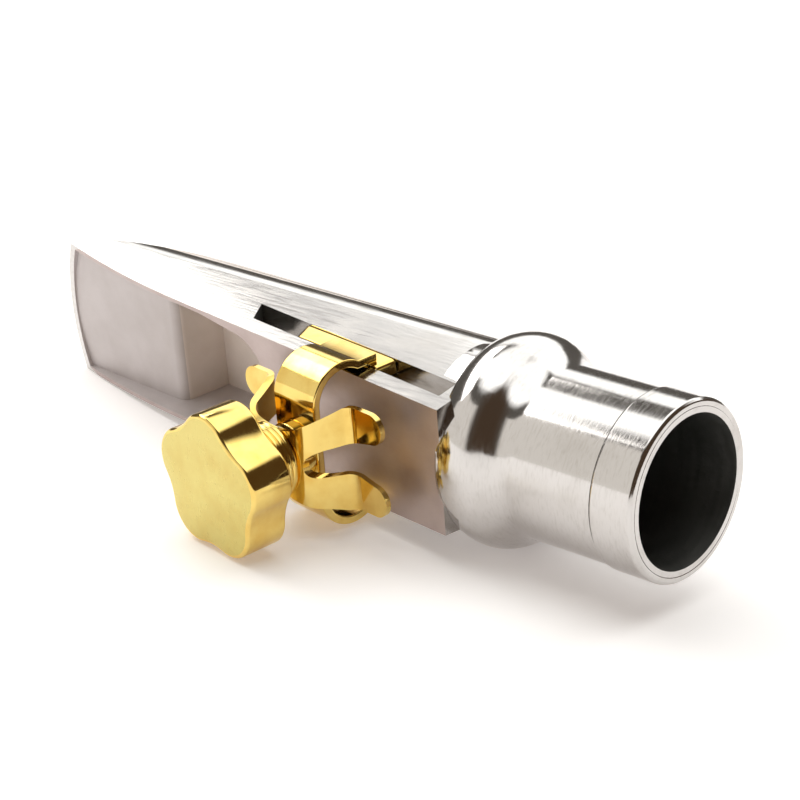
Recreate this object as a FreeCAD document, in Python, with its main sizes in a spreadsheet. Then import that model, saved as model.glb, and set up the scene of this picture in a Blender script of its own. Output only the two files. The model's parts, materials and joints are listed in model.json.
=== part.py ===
"""Alto saxophone mouthpiece of metal with its rail ligature, in millimetres.

Frame: the origin is the centre of the shank's open end, +X runs out of the shank along the bore axis,
+Z is up. The flat reed table faces -Y and leans a few degrees downwards, so that the thumb knob and the
shank's shoulder rest on one level.
Three local frames are used:
  bore frame   X along the bore, Y towards the back of the mouthpiece, Z across it (before the lean)
  table frame  X along the reed table towards the shank, Y across it, Z straight out of it, with its
               origin on the table under the clamp screw
"""
import FreeCAD
import Part

import math
import os

import Sketcher

V = FreeCAD.Vector

DIMS = {
    # whole mouthpiece
    "total_length": 89.9,
    "tip_plan_round": 18.0,
    "lean": 9.5,
    "block_rear": 22.8,
    "table_height": 10.43,
    "table_slope": 6.66,
    "table_half_width": 7.0,
    "flank_flare": 6.0,
    "back_depth": 9.2,
    "back_round": 6.6,
    "beak_angle": 14.0,
    "beak_round": 83.0,
    "tip_gauge": 0.9,
    "facing_length": 25.7,
    "facing_round": 147.0,
    # shank, shoulder and bore
    "shank_radius": 9.2,
    "shoulder_radius": 11.35,
    "shoulder_from_rear": 1.9,
    "shoulder_front": 2.7,
    "shoulder_front_drop": 0.95,
    "shoulder_hollow": 3.0,
    "shoulder_back": 2.6,
    "shoulder_back_drop": 0.75,
    "relief_drop": 2.2,
    "relief_behind": 1.7,
    "ring_radius": 9.45,
    "ring_seat_radius": 8.6,
    "ring_length": 5.1,
    "ring_chamfer": 0.3,
    "bore_radius": 8.0,
    "bore_depth": 22.0,
    "chamber_radius": 5.7,
    "chamber_end": 60.0,
    # window and baffle, in the table frame
    "window_half_width": 6.4,
    "window_flank": 23.0,
    "window_flank_half_width": 7.0,
    "window_tip_half_width": 7.45,
    "window_heel": 11.3,
    "window_tip": 50.9,
    "tip_rail": 0.85,
    "window_depth": 9.0,
    "throat_half_width": 5.4,
    "throat_start": 19.0,
    "throat_depth": 1.5,
    "baffle_step": 31.5,
    "baffle_drop": 2.7,
    "baffle_tip_drop": 2.25,
    "baffle_edge_round": 1.2,
    # rail grooves, in the table frame
    "groove_tip": 17.9,
    "groove_slant": 1.9,
    "groove_heel": 30.0,
    "groove_top": 2.1,
    "groove_bottom": 4.8,
    "groove_floor": 6.0,
    # clamp screw, in the table frame
    "screw_from_heel": 15.8,
    "stem_radius": 2.0,
    "stem_tip": 4.7,
    "stem_top": 16.2,
    # band
    "band_half_length": 3.2,
    "band_top": 5.65,
    "band_gauge": 0.9,
    "arm_centre_y": 4.9,
    "arm_centre_z": 1.4,
    "arm_round": 4.25,
    "arm_foot_inner": 7.62,
    "arm_foot_end": 3.2,
    "boss_spigot_radius": 2.7,
    "boss_radius": 3.1,
    "boss_top": 6.9,
    # shoes
    "shoe_tip": 10.2,
    "shoe_heel": 4.4,
    "shoe_slant": 1.4,
    "shoe_inner": 6.12,
    "shoe_top": 2.2,
    "shoe_bottom": 4.7,
    "shoe_round": 0.6,
    # pressure plate
    "plate_half_length": 10.9,
    "plate_half_width": 5.75,
    "plate_gauge": 0.6,
    "plate_top": 8.8,
    "plate_crown": 2.4,
    "plate_crown_round": 2.6,
    "plate_foot_round": 1.3,
    "plate_slope": 68,
    "plate_finger_top": 3.4,
    "plate_waist_depth": 2.3,
    "plate_waist_radius": 9.0,
    "finger_gap_radius": 1.55,
    "finger_gap_end": 2.35,
    "finger_gap_start": 4.0,
    "plate_hole_radius": 2.3,
    "plate_play": 0.05,
    # neck, ring and knob
    "collar_radius": 4.1,
    "collar_top": 11.4,
    "collar_groove": 0.15,
    "collar_groove_pitch": 0.6,
    "clip_radius": 3.1,
    "clip_bottom": 7.5,
    "clip_gauge": 0.5,
    "knob_hub_radius": 4.5,
    "knob_bottom": 12.4,
    "knob_top": 17.5,
    "lobe_round": 3.6,
    "lobe_reach": 4.3,
    "scallop_round": 7.25,
    "scallop_reach": 14.03,
    "knob_chamfer": 0.35,
    "lobe_phase": 88.0,
    # how far pieces run into each other, and cutters past what they cut
    "shank_in_block": 4.0,
    "shank_in_block_taper": 0.2,
    "thread_play": 0.05,
    "overrun": 1.0,
    "past_part": 20.0,
}
LOBES = 5
TOUCHING = 1e-6

doc = FreeCAD.newDocument("mouthpiece")
dims = doc.addObject("Spreadsheet::Sheet", "dims")
for row, (alias, size) in enumerate(DIMS.items(), start=1):
    dims.set(f"A{row}", alias)
    dims.set(f"B{row}", str(size))
    dims.setAlias(f"B{row}", alias)
doc.recompute()


def size(alias):
    """Read one driving dimension from the sheet."""
    return float(dims.get(alias))


def bind(thing, **expressions):
    """Tie properties of one object to expressions over the sheet."""
    for name, expression in expressions.items():
        thing.setExpression(name.replace("_", "."), expression)
    return thing


# ---------------------------------------------------------------- frames
slope = math.radians(size("table_slope"))
LEAN = FreeCAD.Placement(V(0, 0, 0), FreeCAD.Rotation(V(1, 0, 0), size("lean")))
along_table = V(math.cos(slope), -math.sin(slope), 0)
out_of_table = V(-math.sin(slope), -math.cos(slope), 0)
across = V(0, 0, 1)
table_heel = V(-size("block_rear"), -size("table_height"), 0)
screw_foot = table_heel - along_table * size("screw_from_heel")
TABLE = FreeCAD.Placement(screw_foot, FreeCAD.Rotation(along_table, across, out_of_table, "ZXY"))
TABLE_LEANING = LEAN.multiply(TABLE)
# sketch planes: cross-section of the bore frame (Z across, -Y up) and its side view (X, -Y up)
SECTION = FreeCAD.Placement(V(0, 0, 0), FreeCAD.Rotation(V(0, 0, 1), V(0, -1, 0), V(1, 0, 0), "ZXY"))
SIDE = FreeCAD.Placement(V(0, 0, 0), FreeCAD.Rotation(V(1, 0, 0), V(0, -1, 0), V(0, 0, -1), "ZXY"))
FRONT = FreeCAD.Placement(V(0, 0, 0), FreeCAD.Rotation(V(1, 0, 0), V(0, 0, 1), V(0, -1, 0), "ZXY"))
LENGTHWISE = FreeCAD.Placement(V(0, 0, 0), FreeCAD.Rotation(V(0, 1, 0), V(0, 0, 1), V(1, 0, 0), "ZXY"))


# ---------------------------------------------------------------- drawing helpers
def worth(expression):
    """The number that an expression over the sheet comes to."""
    return float(dims.evalExpression(expression))


def arc_between(start, end, radius, side):
    """The minor arc from start to end, its centre on the left (1) or the right (-1) of the chord."""
    middle = (start + end) * 0.5
    chord = end - start
    left = V(-chord.y, chord.x, 0).normalize()
    height = math.sqrt(max(radius ** 2 - (chord.Length / 2) ** 2, 0.0))
    centre = middle + left * (side * height)
    top = centre - left * (side * radius)
    return Part.Arc(start, top, end)


def outline(name, plane, corners):
    """A closed sketch. A corner is (x, y), or (x, y, radius, side) where an arc runs to the next one."""
    sketch = doc.addObject("Sketcher::SketchObject", name)
    sketch.Placement = plane
    points = [V(worth(corner[0]), worth(corner[1]), 0) for corner in corners]
    for index, corner in enumerate(corners):
        start = points[index]
        end = points[(index + 1) % len(points)]
        if len(corner) == 4:
            sketch.addGeometry(arc_between(start, end, worth(corner[2]), corner[3]), False)
        else:
            sketch.addGeometry(Part.LineSegment(start, end), False)
    return sketch


def level_arc(run, rise):
    """Radius of an arc that starts level and rises by rise over run."""
    return f"(({run})^2 + ({rise})^2) / (2 * ({rise}))"


def starts_of(corners):
    """Which end of each edge is its start: an arc drawn clockwise is stored the other way round."""
    return [2 if len(corner) == 4 and corner[3] < 0 else 1 for corner in corners]


def tie(sketch, corners):
    """Join the edges of an outline and set each corner by its expressions."""
    first = starts_of(corners)
    last = [3 - end for end in first]
    count = len(corners)
    for index in range(count):
        after = (index + 1) % count
        sketch.addConstraint(Sketcher.Constraint("Coincident", index, last[index], after, first[after]))
    for index, corner in enumerate(corners):
        for kind, expression, axis in (("DistanceX", corner[0], -2), ("DistanceY", corner[1], -1)):
            value = worth(expression)
            if abs(value) < 1e-9:
                sketch.addConstraint(Sketcher.Constraint("PointOnObject", index, first[index], axis))
                continue
            number = sketch.addConstraint(Sketcher.Constraint(kind, -1, 1, index, first[index], value))
            sketch.setExpression(f"Constraints[{number}]", expression)
        if len(corner) == 4:
            number = sketch.addConstraint(Sketcher.Constraint("Radius", index, worth(corner[2])))
            sketch.setExpression(f"Constraints[{number}]", corner[2])
    return sketch


def mirror_image(half):
    """The other half of a symmetric outline: its corners in reverse, with X negated."""
    mirrored = []
    for index in range(len(half) - 1, -1, -1):
        x_place, y_place = half[index][:2]
        edge = tuple(half[index - 1][2:]) if index > 0 else ()
        mirrored.append((f"-({x_place})", y_place) + edge)
    return mirrored


def slab(name, plane, corners, forward, backward="0"):
    """A straight solid on an outline, from backward behind its plane to forward before it."""
    sketch = tie(outline(name + "_outline", plane, corners), corners)
    solid = doc.addObject("Part::Extrusion", name)
    solid.Base = sketch
    solid.DirMode = "Normal"
    solid.Solid = True
    return bind(solid, LengthFwd=forward, LengthRev=backward)


def turned(name, plane, corners, axis):
    """A solid of revolution on an outline."""
    sketch = tie(outline(name + "_outline", plane, corners), corners)
    solid = doc.addObject("Part::Revolution", name)
    solid.Source = sketch
    solid.Axis = axis
    solid.Angle = 360
    solid.Solid = True
    return solid


def rod(name, radius, start, end, plane=None):
    """A cylinder along Z of a frame, from start to end."""
    solid = doc.addObject("Part::Cylinder", name)
    if plane is not None:
        solid.Placement = plane
    bind(solid, Radius=radius, Height=f"({end}) - ({start})")
    if plane is None:
        solid.setExpression("Placement.Base.z", start)
    return solid


def joined(name, *solids):
    """Several solids as one."""
    whole = doc.addObject("Part::MultiFuse", name)
    whole.Shapes = list(solids)
    whole.Refine = True
    return whole


def cut(name, base, *tools):
    """One solid without several others."""
    if len(tools) > 1:
        tool = doc.addObject("Part::MultiFuse", name + "_tools")
        tool.Shapes = list(tools)
    else:
        tool = tools[0]
    rest = doc.addObject("Part::Cut", name)
    rest.Base = base
    rest.Tool = tool
    return rest


def overlap(name, one, other):
    """What two solids share."""
    shared = doc.addObject("Part::Common", name)
    shared.Base = one
    shared.Tool = other
    return shared


def edges_where(solid, test):
    """The numbers of the edges of a solid that pass a test."""
    doc.recompute()
    return [number for number, edge in enumerate(solid.Shape.Edges, start=1) if test(edge)]


def broken_edges(name, solid, numbers, amount, kind="Part::Chamfer"):
    """A solid with some edges chamfered or rounded by one named amount."""
    softened = doc.addObject(kind, name)
    softened.Base = solid
    softened.Edges = [(number, size(amount), size(amount)) for number in numbers]
    return softened


nodes = []


def sub_part(label, solid, placement):
    """Name a finished piece and put it in its place."""
    solid.Label = label
    solid.Placement = placement
    nodes.append(solid)
    return solid


# ---------------------------------------------------------------- mouthpiece body
def mouthpiece_body():
    """Block with a flat reed table, flared flanks, a round back and a beak; shoulder and shank behind it."""
    flare = "tan(dims.flank_flare * 1 deg)"
    top = "dims.table_height + dims.overrun"
    bottom = "-dims.back_depth"
    # the flank meets the back in an arc that is tangent to both
    lift = "dims.back_round * (1 + sin(dims.flank_flare * 1 deg))"
    corner = f"dims.table_half_width + (dims.table_height + dims.back_depth) * {flare}"
    inset = "dims.back_round * tan(45 deg + dims.flank_flare * 0.5 deg)"
    lower_y = f"{bottom} + {inset} * cos(dims.flank_flare * 1 deg)"
    lower_x = f"{corner} - {inset} * sin(dims.flank_flare * 1 deg)"
    upper_x = f"dims.table_half_width - dims.overrun * {flare}"
    section = [
        (f"-({upper_x})", top),
        (f"-({lower_x})", lower_y, "dims.back_round", 1),
        (f"-({corner} - {inset})", bottom),
        (f"{corner} - {inset}", bottom, "dims.back_round", 1),
        (lower_x, lower_y),
        (upper_x, top),
    ]
    prism = slab("block_prism", SECTION, section, "-dims.block_rear", "dims.total_length")

    # side view: inclined table, facing curve, thin tip, straight beak, level back
    rise = "tan(dims.table_slope * 1 deg)"
    run = "(dims.total_length - dims.block_rear)"
    facing_x = "-dims.total_length + dims.facing_length"
    facing_y = f"dims.table_height - ({run} - dims.facing_length) * {rise}"
    tip_y = (f"dims.table_height - {run} * {rise}"
             " - dims.facing_round + sqrt(dims.facing_round^2 - dims.facing_length^2)")
    beak_y = f"{tip_y} - dims.tip_gauge"
    ramp_y = f"{bottom} + dims.beak_round * (1 - cos(dims.beak_angle * 1 deg))"
    ramp_x = f"-dims.total_length + ({beak_y} - ({ramp_y})) / tan(dims.beak_angle * 1 deg)"
    level_x = f"{ramp_x} + dims.beak_round * sin(dims.beak_angle * 1 deg)"
    side = [
        ("-dims.block_rear", "dims.table_height"),
        (facing_x, facing_y, "dims.facing_round", 1),
        ("-dims.total_length", tip_y),
        ("-dims.total_length", beak_y),
        (ramp_x, ramp_y, "dims.beak_round", 1),
        (level_x, bottom),
        ("-dims.block_rear", bottom),
    ]
    profile = slab("block_profile", SIDE, side, "dims.past_part", "dims.past_part")
    # plan view: the tip is an arc, as the end of a reed is
    wide = "dims.shoulder_radius"
    tip_corner = f"-dims.total_length + dims.tip_plan_round - sqrt(dims.tip_plan_round^2 - {wide}^2)"
    plan = [
        ("-dims.block_rear", f"-{wide}"),
        ("-dims.block_rear", wide),
        (tip_corner, wide, "dims.tip_plan_round", 1),
        (tip_corner, f"-{wide}"),
    ]
    plan_prism = slab("block_plan", FRONT, plan, top, "dims.back_depth + dims.overrun")
    block = overlap("block", overlap("square_tipped_block", prism, profile), plan_prism)

    # shoulder, shank and the seat of the end ring, turned about the bore axis; each arc of the shoulder
    # starts or ends level with the axis
    shoulder = "-dims.block_rear + dims.shoulder_from_rear"
    front_x = f"{shoulder} + dims.shoulder_front"
    front_r = "dims.shoulder_radius - dims.shoulder_front_drop"
    hollow_x = f"{front_x} + dims.shoulder_hollow"
    hollow_round = level_arc("dims.shoulder_hollow", f"{front_r} - dims.shank_radius")
    front_round = level_arc("dims.shoulder_front", "dims.shoulder_front_drop")
    back_round = level_arc("dims.shoulder_back", "dims.shoulder_back_drop")
    inside_block = "-dims.block_rear - dims.shank_in_block"
    turned_outline = [
        (inside_block, "0"),
        ("0", "0"),
        ("0", "dims.ring_seat_radius"),
        ("-dims.ring_length", "dims.ring_seat_radius"),
        ("-dims.ring_length", "dims.shank_radius"),
        (hollow_x, "dims.shank_radius", hollow_round, -1),
        (front_x, front_r, front_round, 1),
        (shoulder, "dims.shoulder_radius", back_round, 1),
        (f"{shoulder} - dims.shoulder_back", "dims.shoulder_radius - dims.shoulder_back_drop"),
        ("-dims.block_rear - dims.relief_behind", "dims.shoulder_radius - dims.relief_drop"),
        (inside_block, "dims.shoulder_radius - dims.relief_drop - dims.shank_in_block_taper"),
    ]
    shank = turned("shank_turning", FRONT, turned_outline, V(1, 0, 0))
    outside = joined("body_outside", block, shank)

    # bore and chamber
    bore_outline = [
        ("-dims.bore_depth", "0"),
        ("dims.overrun", "0"),
        ("dims.overrun", "dims.bore_radius"),
        ("-dims.bore_depth", "dims.bore_radius"),
    ]
    bore = turned("bore_cutter", FRONT, bore_outline, V(1, 0, 0))
    chamber_outline = [
        ("-dims.chamber_end", "0"),
        ("-dims.bore_depth + dims.overrun", "0"),
        ("-dims.bore_depth + dims.overrun", "dims.chamber_radius"),
        ("-dims.chamber_end", "dims.chamber_radius"),
    ]
    chamber = turned("chamber_cutter", FRONT, chamber_outline, V(1, 0, 0))

    # window through the table: round heel end, rails that narrow towards the tip, and the tip rail's arc
    window_round = "(dims.tip_plan_round - dims.tip_rail)"
    window_sagitta = f"{window_round} - sqrt({window_round}^2 - dims.window_tip_half_width^2)"
    window_corner = f"-dims.window_tip + {window_sagitta}"
    heel_corner = "-dims.window_heel - dims.window_half_width"
    window_outline = [
        (window_corner, "-dims.window_tip_half_width"),
        ("-dims.window_flank", "-dims.window_flank_half_width"),
        (heel_corner, "-dims.window_half_width", "dims.window_half_width", 1),
        ("-dims.window_heel", "0", "dims.window_half_width", 1),
        (heel_corner, "dims.window_half_width"),
        ("-dims.window_flank", "dims.window_flank_half_width"),
        (window_corner, "dims.window_tip_half_width", window_round, 1),
    ]
    # below its lip the heel end is narrower, which keeps a wall beside the rail grooves
    throat_corner = "-dims.window_heel - dims.throat_half_width"
    throat_outline = [
        (window_corner, "-dims.window_tip_half_width"),
        ("-dims.window_flank", "-dims.window_flank_half_width"),
        ("-dims.throat_start", "-dims.throat_half_width"),
        (throat_corner, "-dims.throat_half_width", "dims.throat_half_width", 1),
        ("-dims.window_heel", "0", "dims.throat_half_width", 1),
        (throat_corner, "dims.throat_half_width"),
        ("-dims.throat_start", "dims.throat_half_width"),
        ("-dims.window_flank", "dims.window_flank_half_width"),
        (window_corner, "dims.window_tip_half_width", window_round, 1),
    ]
    lip = slab("window_lip", FreeCAD.Placement(), window_outline, "dims.overrun", "dims.throat_depth")
    throat = slab("window_throat", FreeCAD.Placement(), throat_outline, "dims.overrun", "dims.window_depth")
    window = joined("window_prism", lip, throat)
    # its floor is the baffle, from the tip rail down to a rounded step, and then the chamber
    edge_y = "-dims.baffle_drop - dims.baffle_edge_round"
    depth_outline = [
        ("-dims.window_heel + dims.overrun", "dims.overrun"),
        ("-dims.window_tip - dims.overrun", "dims.overrun"),
        ("-dims.window_tip - dims.overrun", "-dims.baffle_tip_drop"),
        ("-dims.window_tip", "-dims.baffle_tip_drop"),
        ("-dims.baffle_step - dims.baffle_edge_round", "-dims.baffle_drop", "dims.baffle_edge_round", -1),
        ("-dims.baffle_step", edge_y),
        ("-dims.baffle_step", "-dims.window_depth"),
        ("-dims.window_heel + dims.overrun", "-dims.window_depth"),
    ]
    floor = slab("window_floor", FRONT, depth_outline, "dims.shoulder_radius", "dims.shoulder_radius")
    opening = overlap("window_cutter", window, floor)
    opening.Placement = TABLE

    # rail grooves, their ends cut at a slant
    groove_outline = [
        ("-dims.groove_tip", "-dims.groove_bottom"),
        ("dims.groove_heel", "-dims.groove_bottom"),
        ("dims.groove_heel", "-dims.groove_top"),
        ("-dims.groove_tip + dims.groove_slant", "-dims.groove_top"),
    ]
    upper_groove = slab("upper_groove", FRONT, groove_outline, "-dims.groove_floor", "dims.shoulder_radius")
    lower_groove = slab("lower_groove", FRONT, groove_outline, "dims.shoulder_radius", "-dims.groove_floor")
    grooves = [upper_groove, lower_groove]
    for groove in grooves:
        groove.Placement = TABLE
    # the grooves stop at the shoulder
    stop_at = size("block_rear") + size("relief_behind")
    stop = rod("groove_stop", "dims.past_part", "0", "dims.block_rear + dims.relief_behind")
    stop.Placement = FreeCAD.Placement(V(-stop_at, 0, 0), FreeCAD.Rotation(V(0, 1, 0), 90))
    groove_pair = joined("groove_pair", *grooves)
    rail_grooves = cut("rail_grooves", groove_pair, stop)
    return cut("mouthpiece_body", outside, bore, chamber, opening, rail_grooves)


def shank_ring():
    """Turned ring that closes the open end of the shank."""
    section = [
        ("-dims.ring_length", "dims.ring_seat_radius"),
        ("0", "dims.ring_seat_radius"),
        ("0", "dims.ring_radius - dims.ring_chamfer"),
        ("-dims.ring_chamfer", "dims.ring_radius"),
        ("-dims.ring_length + dims.ring_chamfer", "dims.ring_radius"),
        ("-dims.ring_length", "dims.ring_radius - dims.ring_chamfer"),
    ]
    return turned("shank_ring", FRONT, section, V(1, 0, 0))


# ---------------------------------------------------------------- ligature
def ligature_band():
    """Strap across the table; its arms curl over both edges of the table down to the shoes."""
    outer = "dims.arm_round"
    inner = "(dims.arm_round - dims.band_gauge)"
    middle = "dims.arm_centre_y"
    level = "dims.arm_centre_z"
    foot = "dims.arm_foot_inner"
    foot_outer = f"{foot} + dims.band_gauge"
    outer_foot = f"{level} - sqrt({outer}^2 - ({foot_outer} - {middle})^2)"
    inner_foot = f"{level} - sqrt({inner}^2 - ({foot} - {middle})^2)"
    half = [
        (middle, f"{level} + {outer}", outer, -1),
        (f"{middle} + {outer}", level, outer, -1),
        (foot_outer, outer_foot),
        (foot_outer, "-dims.arm_foot_end"),
        (foot, "-dims.arm_foot_end"),
        (foot, inner_foot, inner, 1),
        (f"{middle} + {inner}", level, inner, 1),
        (middle, f"{level} + {inner}"),
    ]
    whole = half + mirror_image(half)
    strap = slab("band_strip", LENGTHWISE, whole, "dims.band_half_length", "dims.band_half_length")
    hole = rod("band_hole", "dims.boss_spigot_radius", "0", "dims.past_part")
    return cut("ligature_band", strap, hole)


def rail_shoe(name, side_sign):
    """Bar soldered to the end of an arm; it slides in the rail groove, and its tip end is cut at a slant."""
    bar = [
        ("-dims.shoe_tip", "-dims.shoe_bottom"),
        ("dims.shoe_heel", "-dims.shoe_bottom"),
        ("dims.shoe_heel", "-dims.shoe_top"),
        ("-dims.shoe_tip + dims.shoe_slant", "-dims.shoe_top"),
    ]
    reaches = ("-dims.shoe_inner", "dims.arm_foot_inner")
    forward, backward = reaches if side_sign > 0 else reversed(reaches)
    shoe = slab(name + "_bar", FRONT, bar, forward, backward)
    outer = side_sign * size("arm_foot_inner")

    def at_outer_end(edge):
        room = edge.BoundBox
        upright = abs(room.ZLength - (size("shoe_bottom") - size("shoe_top"))) < TOUCHING
        return upright and abs(room.YMax - outer) < TOUCHING and room.YLength < TOUCHING

    return broken_edges(name, shoe, edges_where(shoe, at_outer_end), "shoe_round", "Part::Fillet")


def threaded_boss():
    """Round nut set in the strap, threaded for the clamp screw."""
    spigot = rod("boss_spigot", "dims.boss_spigot_radius", "dims.band_top - dims.band_gauge", "dims.band_top")
    flange = rod("boss_flange", "dims.boss_radius", "dims.band_top", "dims.boss_top")
    thread = rod("boss_thread", "dims.stem_radius + dims.thread_play", "0", "dims.past_part")
    return cut("threaded_boss", joined("boss_blank", spigot, flange), thread)


def pressure_plate():
    """Sprung sheet with four fingers: a flat crown round the screw, two slopes, four flat finger ends."""
    length = "dims.plate_half_length"
    gauge = "dims.plate_gauge"
    crown = "dims.plate_crown"
    top = "dims.plate_top"
    low = "dims.plate_finger_top"
    run = "sin(dims.plate_slope * 1 deg)"
    drop = "(1 - cos(dims.plate_slope * 1 deg))"
    crown_round = "dims.plate_crown_round"
    foot_round = "dims.plate_foot_round"
    crown_end = f"({crown} + {crown_round} * {run})"
    straight = f"(({top} - {low} - ({crown_round} + {foot_round}) * {drop}) / tan(dims.plate_slope * 1 deg))"
    foot_start = f"({crown_end} + {straight})"
    foot_end = f"({foot_start} + {foot_round} * {run})"
    # the underside is the upper face set in by the gauge, so its arcs share their centres
    half = [
        (crown, top, crown_round, -1),
        (crown_end, f"{top} - {crown_round} * {drop}"),
        (foot_start, f"{low} + {foot_round} * {drop}", foot_round, 1),
        (foot_end, low),
        (length, low),
        (length, f"{low} - {gauge}"),
        (foot_end, f"{low} - {gauge}", f"{foot_round} + {gauge}", -1),
        (f"{foot_start} - {gauge} * {run}", f"{low} + {foot_round} * {drop} - {gauge} * (1 - {drop})"),
        (f"{crown_end} - {gauge} * {run}", f"{top} - {crown_round} * {drop} - {gauge} * (1 - {drop})",
         f"{crown_round} - {gauge}", 1),
        (crown, f"{top} - {gauge}"),
    ]
    mirrored = mirror_image(half)
    side = slab("plate_side_view", FRONT, half + mirrored, "dims.past_part", "dims.past_part")
    finger = "(dims.plate_half_width - dims.finger_gap_end) / 2"
    corner = f"{length} - {finger}"
    gap = "(dims.finger_gap_start + dims.finger_gap_radius)"
    width = "dims.plate_half_width"
    slot = "dims.finger_gap_radius"
    slot_end = "dims.finger_gap_end"
    finger_middle = f"({width} + {slot_end}) / 2"
    one_end = [
        (corner, f"-({width})", finger, 1),
        (length, f"-({finger_middle})", finger, 1),
        (corner, f"-({slot_end})"),
        (gap, f"-({slot})", slot, -1),
        ("dims.finger_gap_start", "0", slot, -1),
        (gap, slot),
        (corner, slot_end, finger, 1),
        (length, finger_middle, finger, 1),
        (corner, width),
    ]
    turned_round = [(f"-({x_place})", f"-({y_place})", *edge) for x_place, y_place, *edge in one_end]
    sheet = slab("plate_top_view", FreeCAD.Placement(), one_end + turned_round, "dims.past_part")
    plate = overlap("plate_blank", side, sheet)
    hole = rod("plate_hole", "dims.plate_hole_radius", "0", "dims.past_part")
    waists = []
    for side_sign in (1, -1):
        waist = rod(f"plate_waist_{side_sign + 2}", "dims.plate_waist_radius", "0", "dims.past_part")
        reach = size("plate_half_width") - size("plate_waist_depth") + size("plate_waist_radius")
        waist.Placement.Base = V(0, side_sign * reach, 0)
        waists.append(waist)
    return cut("pressure_plate", plate, hole, *waists)


def thrust_collar():
    """Turned spacer between the plate and the knob, with three fine grooves."""
    bottom = "dims.plate_top + dims.plate_play"
    radius = "dims.collar_radius"
    profile = [("dims.stem_radius", bottom), (radius, bottom)]
    for number in range(1, 4):
        middle = f"{bottom} + {number} * dims.collar_groove_pitch"
        profile += [
            (radius, f"{middle} - dims.collar_groove"),
            (f"{radius} - dims.collar_groove", middle),
            (radius, f"{middle} + dims.collar_groove"),
        ]
    profile += [(radius, "dims.collar_top"), ("dims.stem_radius", "dims.collar_top")]
    return turned("thrust_collar", FRONT, profile, V(0, 0, 1))


def retaining_ring():
    """Open clip on the stem under the plate; it lifts the plate when the screw is backed off."""
    top = "dims.clip_bottom + dims.clip_gauge"
    disc = rod("clip_disc", "dims.clip_radius", "dims.clip_bottom", top)
    hole = rod("clip_hole", "dims.stem_radius", "0", "dims.past_part")
    gap = doc.addObject("Part::Box", "clip_gap")
    bind(gap, Length="2 * dims.clip_radius", Width="dims.stem_radius", Height="dims.past_part")
    gap.Placement.Base = V(0, -size("stem_radius") / 2, 0)
    return cut("retaining_ring", disc, hole, gap)


def screw_stem():
    """Clamp screw from the boss up into the knob, with a bevelled tip."""
    stem = rod("stem_blank", "dims.stem_radius", "dims.stem_tip", "dims.stem_top")

    def at_tip(edge):
        return abs(edge.BoundBox.ZMin - size("stem_tip")) < TOUCHING and edge.BoundBox.ZLength < TOUCHING

    return broken_edges("screw_stem", stem, edges_where(stem, at_tip), "knob_chamfer")


def thumb_knob():
    """Knob of five lobes: convex arcs joined by hollow arcs, bevelled edges, and a round hub beneath."""
    half_step = 180.0 / LOBES
    corners = []
    share = "(dims.lobe_round / (dims.lobe_round + dims.scallop_round))"
    for number in range(LOBES):
        lobe = number * 2 * half_step + size("lobe_phase")
        for way, radius, side in ((-1, "dims.lobe_round", 1), (1, "dims.scallop_round", -1)):
            hollow = lobe + way * half_step
            x_place = (f"dims.lobe_reach * cos({lobe} deg) + {share}"
                       f" * (dims.scallop_reach * cos({hollow} deg) - dims.lobe_reach * cos({lobe} deg))")
            y_place = (f"dims.lobe_reach * sin({lobe} deg) + {share}"
                       f" * (dims.scallop_reach * sin({hollow} deg) - dims.lobe_reach * sin({lobe} deg))")
            corners.append((x_place, y_place, radius, side))
    head = slab("knob_head", FreeCAD.Placement(), corners, "dims.knob_top", "-dims.knob_bottom")

    def at_faces(edge):
        return edge.BoundBox.ZLength < TOUCHING

    bevelled = broken_edges("knob_bevelled", head, edges_where(head, at_faces), "knob_chamfer")
    hub = rod("knob_hub", "dims.knob_hub_radius", "dims.collar_top", "dims.knob_bottom + dims.overrun")
    hole = rod("knob_hole", "dims.stem_radius", "0", "dims.stem_top")
    return cut("thumb_knob", joined("knob_blank", bevelled, hub), hole)


sub_part("mouthpiece_body", mouthpiece_body(), LEAN)
sub_part("shank_ring", shank_ring(), LEAN)
sub_part("ligature_band", ligature_band(), TABLE_LEANING)
sub_part("upper_rail_shoe", rail_shoe("upper_rail_shoe", 1), TABLE_LEANING)
sub_part("lower_rail_shoe", rail_shoe("lower_rail_shoe", -1), TABLE_LEANING)
sub_part("threaded_boss", threaded_boss(), TABLE_LEANING)
sub_part("pressure_plate", pressure_plate(), TABLE_LEANING)
sub_part("thrust_collar", thrust_collar(), TABLE_LEANING)
sub_part("retaining_ring", retaining_ring(), TABLE_LEANING)
sub_part("screw_stem", screw_stem(), TABLE_LEANING)
sub_part("thumb_knob", thumb_knob(), TABLE_LEANING)
doc.recompute()

for thing in doc.Objects:
    if "Invalid" in thing.State or "Error" in thing.State:
        raise RuntimeError(f"{thing.Name} did not compute: {thing.State}")
for node in nodes:
    if node.Shape.isNull() or not node.Shape.isValid():
        raise RuntimeError(f"{node.Label} has no valid shape")
    if len(node.Shape.Solids) != 1:
        raise RuntimeError(f"{node.Label} has {len(node.Shape.Solids)} solids")

os.makedirs("parts", exist_ok=True)
for node in nodes:
    node.Shape.exportStep(f"parts/{node.Label}.step")
    box = node.Shape.BoundBox
    print(f"{node.Label:18s} volume {node.Shape.Volume:9.2f}  X {box.XMin:7.2f} {box.XMax:7.2f}"
          f"  Y {box.YMin:7.2f} {box.YMax:7.2f}  Z {box.ZMin:7.2f} {box.ZMax:7.2f}")
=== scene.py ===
"""Looks of a silver-plated saxophone mouthpiece with its gold-plated rail ligature.

Everything is in metres, in the part's own frame: +X runs out of the shank along the bore, +Z is up, and
the reed table faces -Y. The ligature's turned pieces are worked out in the table frame, whose origin lies on
the table under the clamp screw, and are then set in place.
"""
import json
import math

import bmesh
import bpy
import numpy as np
from mathutils import Matrix, Vector


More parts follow.
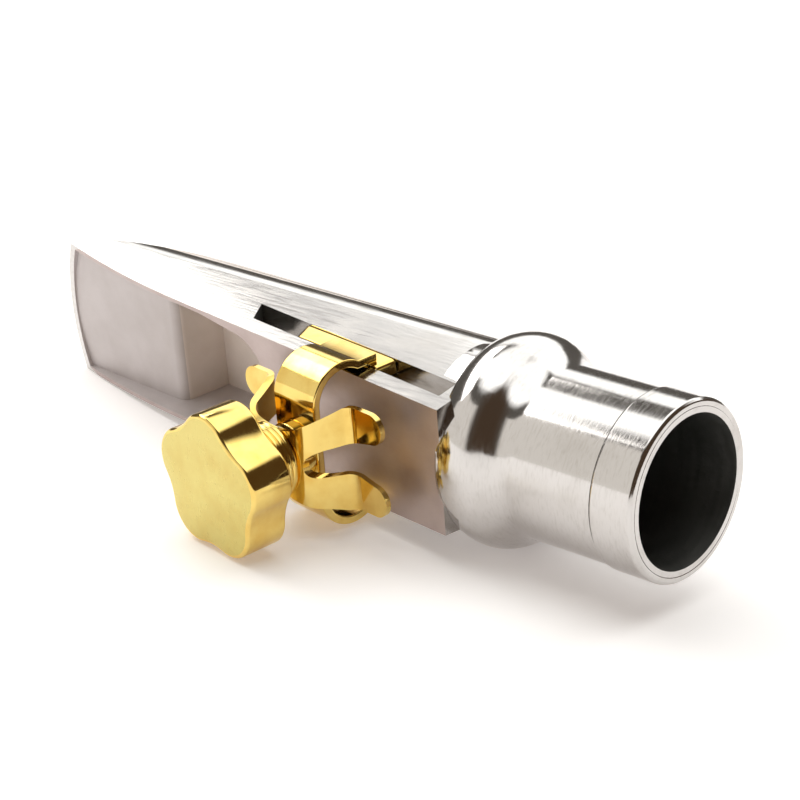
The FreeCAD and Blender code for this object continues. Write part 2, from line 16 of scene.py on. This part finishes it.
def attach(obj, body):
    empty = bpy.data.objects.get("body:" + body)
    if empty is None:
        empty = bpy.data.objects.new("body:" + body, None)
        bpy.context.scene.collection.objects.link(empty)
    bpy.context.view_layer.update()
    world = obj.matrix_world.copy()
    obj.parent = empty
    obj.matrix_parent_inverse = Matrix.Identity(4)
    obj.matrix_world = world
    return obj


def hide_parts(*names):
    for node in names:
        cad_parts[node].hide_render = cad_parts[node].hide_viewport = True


MM = 0.001

# the block, in millimetres in the table frame; depths into the block are negative
HEEL_TO_SCREW = 15.8
TABLE_HALF_WIDTH = 7.0
TABLE_SLOPE = math.radians(6.66)
FLANK_FLARE = math.radians(6)
TABLE_END = 16.2
FACING_DEPTH = -1.6
WINDOW_HEEL = -11.2
BAFFLE_STEP = -31.6
BAFFLE_DEPTH = -2.24
GROOVE_START = -18.2
GROOVE_FLOOR = 5.9
GROOVE_DEPTH = -1.9
# the bore, in millimetres
BORE_REACH = 8.05
CHAMBER_END = -60.5
BLOCK_TO_SHANK = (-23.0, -20.0)

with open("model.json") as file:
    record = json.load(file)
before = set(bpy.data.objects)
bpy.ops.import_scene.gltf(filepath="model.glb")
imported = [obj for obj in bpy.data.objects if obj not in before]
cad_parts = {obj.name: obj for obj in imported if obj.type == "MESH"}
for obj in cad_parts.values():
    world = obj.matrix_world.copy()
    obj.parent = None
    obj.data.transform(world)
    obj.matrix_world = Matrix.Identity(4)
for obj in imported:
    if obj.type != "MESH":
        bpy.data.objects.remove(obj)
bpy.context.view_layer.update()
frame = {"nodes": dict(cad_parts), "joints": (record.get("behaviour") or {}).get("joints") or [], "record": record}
joints = {joint["name"]: joint for joint in frame["joints"]}
record = frame["record"]
BODY_OF = {node: body for body, nodes in record["behaviour"]["bodies"].items() for node in nodes}

# table frame: along the table towards the shank, out of it, and across it
ALONG = np.array(joints["clamp_slide"]["axis"], float)
OUT = np.array(joints["screw_turn"]["axis"], float)
ACROSS = np.cross(OUT, ALONG)
SCREW_FOOT = np.array(joints["screw_turn"]["pos_m"], float)


def from_table(points):
    """Points in the table frame, in millimetres, as points of the part in metres."""
    return SCREW_FOOT + points @ np.array([ALONG, ACROSS, OUT]) * MM


def to_table(points):
    """Points of the part in metres as points in the table frame, in millimetres."""
    return (points - SCREW_FOOT) @ np.array([ALONG, ACROSS, OUT]).T / MM


def rows_of(collection, what):
    """One vector of each vertex or polygon of a mesh, as the rows of an array."""
    flat = np.empty(len(collection) * 3)
    collection.foreach_get(what, flat)
    return flat.reshape(-1, 3)


def along_screw(node):
    """Where a node of the screw starts and ends along the screw's axis, in millimetres from the table."""
    height = to_table(rows_of(frame["nodes"][node].data.vertices, "co"))[:, 2]
    return height.min(), height.max()


# ---------------------------------------------------------------- shader maths
class Value:
    """A number or a socket in a node tree; arithmetic on it adds Math nodes."""

    def __init__(self, tree, source):
        self.tree = tree
        self.source = source

    def maths(self, operation, *others):
        """Add a Math node on this value and others."""
        node = self.tree.nodes.new("ShaderNodeMath")
        node.operation = operation
        for index, other in enumerate((self, *others)):
            other = other.source if isinstance(other, Value) else other
            if isinstance(other, (int, float)):
                node.inputs[index].default_value = other
            else:
                self.tree.links.new(other, node.inputs[index])
        return Value(self.tree, node.outputs[0])

    def __add__(self, other):
        return self.maths("ADD", other)

    def __sub__(self, other):
        return self.maths("SUBTRACT", other)

    def __mul__(self, other):
        return self.maths("MULTIPLY", other)

    def __rsub__(self, other):
        return Value(self.tree, other).maths("SUBTRACT", self)

    __radd__ = __add__
    __rmul__ = __mul__


class Shades:
    """A node tree that colours something, and the few ways in which this scene adds nodes to one."""

    def __init__(self, tree):
        self.tree = tree

    def node(self, kind, settings=None, output=0, **sockets):
        """Add a node: its settings first, then the values or links of its sockets."""
        node = self.tree.nodes.new("ShaderNode" + kind)
        for name, value in (settings or {}).items():
            setattr(node, name, value)
        for name, value in sockets.items():
            self.fill(node.inputs[name.replace("_", " ")], value)
        return Value(self.tree, node.outputs[output])

    def fill(self, socket, value):
        """Link a value to a socket, or set the socket to it."""
        if isinstance(value, Value):
            self.tree.links.new(value.source, socket)
        elif isinstance(value, tuple) and socket.type == "RGBA":
            socket.default_value = (*value, 1.0)
        else:
            socket.default_value = value

    def between(self, value, low, high, start=0.0, end=1.0):
        """Stretch value from low..high to start..end, held at the ends."""
        return self.node("MapRange", Value=value, From_Min=low, From_Max=high, To_Min=start, To_Max=end)

    def mix(self, share, one, other):
        """Blend two colours by share."""
        node = self.tree.nodes.new("ShaderNodeMix")
        node.data_type = "RGBA"
        for socket, value in ((node.inputs[0], share), (node.inputs[6], one), (node.inputs[7], other)):
            self.fill(socket, value)
        return Value(self.tree, node.outputs[2])


class Finish(Shades):
    """One material: a Principled shader and the nodes that vary it over the surface."""

    def __init__(self, name):
        self.material = bpy.data.materials.new(name)
        self.material.use_nodes = True
        super().__init__(self.material.node_tree)
        self.shader = next(n for n in self.tree.nodes if n.type == "BSDF_PRINCIPLED")

    def place(self, stretch=(1, 1, 1)):
        """Object coordinates in millimetres, stretched along the axes."""
        where = self.node("TexCoord", output=3)
        return self.node("Mapping", Vector=where, Scale=tuple(s / MM for s in stretch))

    def noise(self, size, detail=3.0, stretch=(1, 1, 1), rough=0.55):
        """Cloudy noise with features about size millimetres across, from 0 to 1."""
        where = self.place(stretch)
        return self.node("TexNoise", Vector=where, Scale=1 / size, Detail=detail, Roughness=rough)

    def set(self, **sockets):
        """Set or link sockets of the Principled shader."""
        for name, value in sockets.items():
            self.fill(self.shader.inputs[name.replace("_", " ")], value)
        return self

    def bump(self, height, depth):
        """Raise the surface by height times depth, in millimetres."""
        return self.set(Normal=self.node("Bump", Height=height, Distance=depth * MM, Strength=1.0))


# ---------------------------------------------------------------- finishes
def polished_silver():
    """Hand-polished silver: lengthwise rubbing on the block, turning lines round the shank, faint tarnish."""
    finish = Finish("polished_silver")
    along = finish.node("SeparateXYZ", Vector=finish.place())
    on_shank = finish.between(along, *BLOCK_TO_SHANK)
    cloud = finish.noise(6.0, detail=5)
    rubbing = finish.noise(0.35, detail=6, stretch=(0.08, 1, 1))
    turning = finish.noise(0.22, detail=6, stretch=(1, 0.22, 0.22))
    lines = rubbing * (1 - on_shank) + turning * on_shank
    tarnish = finish.between(cloud, 0.48, 0.72)
    stain = tarnish * 0.4 + finish.between(lines, 0.5, 0.75) * 0.4
    tint = finish.mix(stain, (0.60, 0.58, 0.565), (0.43, 0.405, 0.375))
    roughness = finish.between(lines, 0.3, 0.72, 0.07, 0.17) + 0.06 * tarnish
    finish.set(Base_Color=tint, Metallic=1.0, Roughness=roughness)
    return finish.bump(lines, 0.005).material


def satin_silver(name, pale, deep, metal, grain_depth):
    """Ground silver with a fine lengthwise grain and slightly cloudy colour."""
    finish = Finish(name)
    grain = finish.noise(0.10, detail=5, stretch=(0.06, 1, 1))
    cloud = finish.noise(4.0, detail=4)
    finish.set(Base_Color=finish.mix(finish.between(cloud, 0.35, 0.7), pale, deep), Metallic=metal)
    finish.set(Roughness=finish.between(grain, 0.3, 0.7, 0.36, 0.5))
    return finish.bump(grain, grain_depth).material


def painted_shade_bore():
    """Unpolished silver inside the bore, with coarse boring marks, coloured dark as painted shade for the shade
    deep in the bore.
    """
    finish = Finish("bore_painted_shade")
    marks = finish.noise(0.5, detail=3, stretch=(1, 0.1, 0.1))
    finish.set(Base_Color=finish.mix(marks, (0.16, 0.16, 0.15), (0.23, 0.23, 0.215)), Metallic=1.0)
    finish.set(Roughness=finish.between(marks, 0.3, 0.7, 0.45, 0.6))
    return finish.bump(marks, 0.01).material


def polished_gold(name, fresh, worn, roughest, wiping_depth):
    """Gold plate with fine wiping marks, a warmer tint where it is worn thin, and a soft cloudiness."""
    finish = Finish(name)
    cloud = finish.noise(3.0, detail=4)
    wiping = finish.noise(0.25, detail=6, stretch=(1, 1, 0.2))
    tint = finish.mix(finish.between(cloud, 0.42, 0.7), fresh, worn)
    finish.set(Base_Color=tint, Metallic=1.0)
    finish.set(Roughness=finish.between(wiping, 0.3, 0.7, roughest * 0.55, roughest))
    return finish.bump(wiping, wiping_depth).material


def turned_steel():
    """Machined steel with tight turning marks."""
    finish = Finish("turned_steel")
    marks = finish.noise(0.12, detail=4)
    finish.set(Base_Color=finish.mix(marks, (0.60, 0.59, 0.57), (0.48, 0.47, 0.45)), Metallic=1.0)
    finish.set(Roughness=finish.between(marks, 0.3, 0.7, 0.2, 0.34))
    return finish.bump(marks, 0.002).material


SILVER = polished_silver()
TABLE = satin_silver("satin_table", (0.50, 0.42, 0.40), (0.44, 0.36, 0.34), 0.9, 0.002)
BAFFLE = satin_silver("satin_window", (0.56, 0.515, 0.51), (0.50, 0.455, 0.445), 0.2, 0.002)
# the chamber behind the baffle step: the window's satin painted lighter, painted light against the shade on those
# faces
CHAMBER_PAINTED_LIGHT = satin_silver("satin_chamber_painted_light", (0.84, 0.76, 0.71), (0.76, 0.68, 0.62), 0.2, 0.002)
# the bore's dark colour is painted shade
BORE_PAINTED_SHADE = painted_shade_bore()
GOLD = polished_gold("polished_gold", (0.82, 0.61, 0.19), (0.74, 0.49, 0.12), 0.13, 0.0012)
SATIN_GOLD = polished_gold("satin_gold", (0.64, 0.54, 0.185), (0.60, 0.475, 0.15), 0.30, 0.0022)
STEEL = turned_steel()


# ---------------------------------------------------------------- mesh making
def stand_in(node, name, mesh, materials):
    """A piece that stands for a CAD node: it rides on the node's body, takes the given materials and hides the
    node.
    """
    mesh.materials.clear()
    for material in materials:
        mesh.materials.append(material)
    piece = bpy.data.objects.new(name, mesh)
    bpy.context.scene.collection.objects.link(piece)
    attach(piece, BODY_OF[node])
    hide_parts(node)
    return piece


def turned_piece(node, name, rings, materials, sharp):
    """A piece of the screw from rings of points in the table frame; a point on the axis closes each end."""
    low, high = rings[0, 0, 2], rings[-1, 0, 2]
    ends = np.array([[0, 0, low], [0, 0, high]])
    points = from_table(np.concatenate([rings.reshape(-1, 3), ends]))
    mesh = bpy.data.meshes.new(name)
    mesh.from_pydata(points, [], wrapped_grid(*rings.shape[:2]))
    piece = stand_in(node, name, mesh, materials)
    set_smooth(piece, sharp)
    return piece


def wrapped_grid(rows, columns):
    """Faces of a grid that closes round its columns, with a fan at each end to the two last points."""
    row, column = np.meshgrid(np.arange(rows - 1), np.arange(columns), indexing="ij")
    after = (column + 1) % columns
    quads = np.stack([row * columns + column, row * columns + after, (row + 1) * columns + after,
                      (row + 1) * columns + column], axis=-1).reshape(-1, 4)
    start, end = rows * columns, rows * columns + 1
    ring = np.arange(columns)
    ahead = (ring + 1) % columns
    low_fan = np.stack([np.full(columns, start), ahead, ring], axis=-1)
    last = (rows - 1) * columns
    high_fan = np.stack([np.full(columns, end), last + ring, last + ahead], axis=-1)
    return quads.tolist() + low_fan.tolist() + high_fan.tolist()


def rings_at(radius, angle, height):
    """Points round the screw's axis in the table frame, at each radius, angle and height of a grid."""
    return np.stack([radius * np.cos(angle), radius * np.sin(angle), height + 0 * radius], axis=-1)


def set_smooth(piece, angle):
    """Shade smooth, with edges steeper than angle degrees kept sharp."""
    piece.data.shade_smooth()
    piece.data.set_sharp_from_angle(angle=math.radians(angle))


def softened(profile, radius, steps=5):
    """A profile with each corner but the ends rounded: a quadratic curve whose middle point is the corner."""
    profile = np.array(profile, float)
    points = [profile[:1]]
    for before, corner, after in zip(profile[:-2], profile[1:-1], profile[2:]):
        reach_in = min(radius, np.linalg.norm(before - corner) / 2)
        reach_out = min(radius, np.linalg.norm(after - corner) / 2)
        start = corner + (before - corner) / np.linalg.norm(before - corner) * reach_in
        finish = corner + (after - corner) / np.linalg.norm(after - corner) * reach_out
        share = np.linspace(0, 1, steps)[:, None]
        points.append((1 - share) ** 2 * start + 2 * share * (1 - share) * corner + share ** 2 * finish)
    points.append(profile[-1:])
    return np.concatenate(points)


# ---------------------------------------------------------------- screw, collar and knob
LOBES = 5
LOBE_PHASE = math.radians(88)


def lobed_radius(angle):
    """Knob outline: near a lobe the far side of a circle set off from the axis, between lobes the near side
    of a larger circle further out; the two circles touch, so the outline is smooth."""
    lobe_round, lobe_reach, scallop_round, scallop_reach = 3.6, 4.3, 7.25, 14.03
    touching = math.radians(22.4)
    step = 2 * math.pi / LOBES
    turn = np.abs((angle - LOBE_PHASE + step / 2) % step - step / 2)
    lobe = lobe_reach * np.cos(turn) + np.sqrt(lobe_round ** 2 - (lobe_reach * np.sin(turn)) ** 2)
    beside = step / 2 - turn
    inside = np.maximum(scallop_round ** 2 - (scallop_reach * np.sin(beside)) ** 2, 0)
    scallop = scallop_reach * np.cos(beside) - np.sqrt(inside)
    return np.where(turn < touching, lobe, scallop)


def thumb_knob():
    """Lobed knob on a round hub. Each row of the profile is (lobed or not, inset or hub radius, height): the
    radius is the hub's, or the lobed outline less the inset, which follows a quarter circle at both rims."""
    low, high = along_screw("thumb_knob")
    hub_radius = 4.5
    back = low + 1.0
    rim = 0.42
    quarter = np.linspace(0, math.pi / 2, 7)
    hub = [(0, hub_radius - 0.15, low), (0, hub_radius, low + 0.15), (0, hub_radius, back - 0.12)]
    behind = [(1, 1.6, back)]
    rear_rim = [(1, rim * (1 - math.sin(a)), back + rim * (1 - math.cos(a))) for a in quarter]
    front_rim = [(1, rim * (1 - math.cos(a)), high - 0.08 - rim * (1 - math.sin(a))) for a in quarter]
    face = [(1, 1.4, high - 0.05), (1, 3.5, high - 0.015)]
    profile = np.array(hub + behind + rear_rim + front_rim + face)
    angle = np.linspace(0, 2 * math.pi, 360, endpoint=False)
    lobed, inset, height = profile[:, :1], profile[:, 1:2], profile[:, 2:]
    radius = np.where(lobed > 0, lobed_radius(angle)[None, :] - inset, inset)
    knob = turned_piece("thumb_knob", "lobed_knob", rings_at(radius, angle, height), [GOLD, SATIN_GOLD], 50)
    # the last two rows of the grid and the last fan are the face
    last_row = len(profile) - 1
    index = np.zeros(len(knob.data.polygons), int)
    index[(last_row - 2) * len(angle):last_row * len(angle)] = 1
    index[-len(angle):] = 1
    knob.data.polygons.foreach_set("material_index", index)


def thrust_collar():
    """Turned spacer: a profile of radius against height, with three fine hollows, carried round the screw."""
    low, high = along_screw("thrust_collar")
    radius, hole = 4.1, 2.0
    groove, pitch = 0.14, 0.6
    profile = [(hole, low + 0.05), (radius - 0.15, low), (radius, low + 0.15)]
    for number in range(1, 4):
        middle = low + pitch * number
        profile += [(radius, middle - groove), (radius - groove, middle), (radius, middle + groove)]
    profile += [(radius, high - 0.1), (radius - 0.1, high), (hole, high)]
    profile = softened(profile, groove / 2)
    angle = np.linspace(0, 2 * math.pi, 128, endpoint=False)
    rings = rings_at(profile[:, :1] + 0 * angle, angle, profile[:, 1:])
    turned_piece("thrust_collar", "grooved_collar", rings, [GOLD], 40)


def screw_stem():
    """Threaded stem: at (angle, height) the radius dips by a rounded wave of height over pitch less the turn,
    which winds the groove into a helix; both ends taper."""
    low, high = along_screw("screw_stem")
    pitch, depth, outer = 0.7, 0.3, 1.99
    rows_per_turn = 12
    height = np.linspace(low, high, int((high - low) / pitch * rows_per_turn))[:, None]
    angle = np.linspace(0, 2 * math.pi, 48, endpoint=False)[None, :]
    wave = 0.5 - 0.5 * np.cos(2 * math.pi * (height / pitch - angle / (2 * math.pi)))
    foot_taper = np.clip(1 - (height - low) / 0.5, 0, 1) * 0.35
    head_taper = np.clip(1 - (high - height) / 0.3, 0, 1) * 0.3
    radius = outer - depth * wave ** 1.5 - (foot_taper + head_taper)
    turned_piece("screw_stem", "threaded_stem", rings_at(radius, angle, height), [STEEL], 60)


# ---------------------------------------------------------------- pieces that keep the CAD shape
def refined(node, name, materials, edge, angle=32):
    """A CAD node's mesh with its corners joined and its sharp edges rounded by edge millimetres. Curved faces
    are shaded smooth, and large flat faces keep their own normals."""
    mesh = frame["nodes"][node].data.copy()
    mesh.name = name
    joined_within, flat_within = 2e-6, math.radians(0.3)
    work = bmesh.new()
    work.from_mesh(mesh)
    bmesh.ops.remove_doubles(work, verts=work.verts, dist=joined_within)
    bmesh.ops.dissolve_limit(work, angle_limit=flat_within, verts=work.verts, edges=work.edges)
    work.to_mesh(mesh)
    work.free()
    piece = stand_in(node, name, mesh, materials)
    set_smooth(piece, angle)
    bevel = piece.modifiers.new("rounded_edges", "BEVEL")
    bevel.width = edge * MM
    bevel.segments = 3
    bevel.limit_method = "ANGLE"
    bevel.angle_limit = math.radians(angle)
    evened = piece.modifiers.new("evened_normals", "WEIGHTED_NORMAL")
    evened.keep_sharp = True
    evened.weight = 90
    return piece


def mouthpiece():
    """The body, with a satin table and window, a bore painted dark as shade, the chamber behind the baffle step
    painted lighter against its shade, and polished silver elsewhere.
    """
    piece = refined("mouthpiece_body", "silver_body", [SILVER, TABLE, BAFFLE, BORE_PAINTED_SHADE, CHAMBER_PAINTED_LIGHT], edge=0.16)
    polygons = piece.data.polygons
    centre, normal = rows_of(polygons, "center"), rows_of(polygons, "normal")
    t, w, m = to_table(centre).T
    facing_out = normal @ OUT
    from_axis = np.hypot(centre[:, 1], centre[:, 2]) / MM
    below_heel = -m + (HEEL_TO_SCREW - t) * math.sin(TABLE_SLOPE)
    flank = TABLE_HALF_WIDTH + math.tan(FLANK_FLARE) * below_heel
    inside = (t < WINDOW_HEEL) & (np.abs(w) < flank - 0.2) & (facing_out > -0.5) & (m < -0.01)
    groove = (np.abs(w) > GROOVE_FLOOR) & (t > GROOVE_START) & (m < GROOVE_DEPTH)
    window = inside & ~groove & ((facing_out < 0.93) | (m < BAFFLE_DEPTH))
    table = (facing_out > 0.97) & (m > FACING_DEPTH) & (t < TABLE_END)
    facing_axis = centre[:, 1] * normal[:, 1] + centre[:, 2] * normal[:, 2] < 0
    # faces inside the bore take the painted shade
    bored = (from_axis < BORE_REACH) & (centre[:, 0] > CHAMBER_END * MM) & facing_axis
    # faces behind the baffle step take the lighter copy, painted light against their shade
    painted_light_behind_step = window & (t > BAFFLE_STEP)
    # the first region that holds a face gives its finish; anything else is polished. The bore's finish is painted
    # shade, the chamber's is painted light
    index = np.select([table, painted_light_behind_step, window, bored], [1, 4, 2, 3], 0)
    polygons.foreach_set("material_index", index.astype(int))


mouthpiece()
refined("shank_ring", "silver_ring", [SILVER], edge=0.1)
refined("ligature_band", "gold_band", [GOLD], edge=0.14)
refined("upper_rail_shoe", "upper_gold_shoe", [GOLD], edge=0.12)
refined("lower_rail_shoe", "lower_gold_shoe", [GOLD], edge=0.12)
refined("threaded_boss", "gold_boss", [GOLD], edge=0.12)
refined("pressure_plate", "gold_plate", [GOLD], edge=0.12)
refined("retaining_ring", "steel_clip", [STEEL], edge=0.06)
thrust_collar()
thumb_knob()
screw_stem()


# ---------------------------------------------------------------- stage
def floor():
    """Pale seamless floor, tilted to touch the shoulder, the knob and a corner of the tip."""
    normal = Vector((0.0525, -0.0384, 1.0)).normalized()
    lowest = min((rows_of(thing.data.vertices, "co") @ normal).min() for thing in frame["nodes"].values())
    turn = Vector((0, 0, 1)).rotation_difference(normal).to_matrix()
    half = 1.5
    corners = [turn @ Vector((x, y, 0)) + normal * lowest for x, y in
               ((-half, -half), (half, -half), (half, half), (-half, half))]
    mesh = bpy.data.meshes.new("floor")
    mesh.from_pydata([tuple(corner) for corner in corners], [], [(0, 1, 2, 3)])
    finish = Finish("white_board")
    tone = finish.noise(30.0, detail=2)
    finish.set(Base_Color=finish.mix(tone, (0.94, 0.935, 0.93), (0.92, 0.915, 0.91)), Roughness=0.7)
    finish.set(Emission_Color=(1.0, 0.93, 0.90), Emission_Strength=0.24)
    mesh.materials.append(finish.material)
    plane = bpy.data.objects.new("floor", mesh)
    bpy.context.scene.collection.objects.link(plane)


def softbox(name, position, target, size, power, colour):
    """A rectangular light that faces a point."""
    light = bpy.data.lights.new(name, "AREA")
    light.shape = "RECTANGLE"
    light.size, light.size_y = size
    light.energy = power
    light.color = colour
    lamp = bpy.data.objects.new(name, light)
    lamp.location = position
    lamp.rotation_euler = (Vector(target) - Vector(position)).to_track_quat("-Z", "Y").to_euler()
    bpy.context.scene.collection.objects.link(lamp)


def room():
    """The room round the table: dark and warm near the ground, a white panel behind, a pale wall at the front
    left, and a bright ceiling. The bands are soft steps of the direction's three parts."""
    world = bpy.data.worlds.new("room")
    world.use_nodes = True
    bpy.context.scene.world = world
    shades = Shades(world.node_tree)
    where = shades.node("TexCoord", output=0)
    x = shades.node("SeparateXYZ", Vector=where)
    y = shades.node("SeparateXYZ", output=1, Vector=where)
    z = shades.node("SeparateXYZ", output=2, Vector=where)
    step = shades.between
    behind = step(y, 0.44, 0.50) * step(z, 0.41, 0.47) * step(x, 0.45, 0.25)
    ceiling = step(z, 0.80, 0.88)
    strip = step(y, 0.16, 0.08) * step(y, -0.36, -0.16) * step(z, 0.55, 0.62) * step(x, -0.2, -0.35)
    wall = step(y, -0.38, -0.42) * step(z, 0.68, 0.65) * step(x, 0.15, -0.05)
    light = behind + ceiling + strip * 1.2
    dark = shades.mix(step(x, -0.1, 0.4), (0.13, 0.118, 0.105), (0.085, 0.055, 0.035))
    with_wall = shades.mix(wall, dark, (0.98, 0.935, 0.87))
    whole = shades.mix(step(light, 0.0, 1.0), with_wall, (1.95, 1.95, 1.91))
    shades.tree.links.new(whole.source, shades.tree.nodes["Background"].inputs["Color"])


def camera():
    """Long lens, seen from the shank's end, the table's side and slightly above."""
    azimuth, elevation, roll = math.radians(41.4), math.radians(17.55), math.radians(-2.4)
    distance = 0.2767
    aim = Vector((-0.03842, 0.00074, -0.00007))
    forward = Vector((-math.sin(azimuth) * math.cos(elevation), math.cos(azimuth) * math.cos(elevation),
                      -math.sin(elevation)))
    lens = bpy.data.cameras.new("camera")
    lens.lens = 117.0
    lens.sensor_width = 36.0
    lens.clip_start = 0.01
    view = bpy.data.objects.new("camera", lens)
    turn = forward.to_track_quat("-Z", "Y").to_matrix().to_4x4()
    view.matrix_world = Matrix.Translation(aim - forward * distance) @ turn @ Matrix.Rotation(-roll, 4, "Z")
    bpy.context.scene.collection.objects.link(view)
    bpy.context.scene.camera = view


floor()
room()
softbox("key", (-0.62, -0.02, 0.54), (-0.04, 0, 0), (0.80, 0.28), 2.6, (1.0, 0.985, 0.96))
camera()
bpy.context.scene.view_settings.view_transform = "Standard"
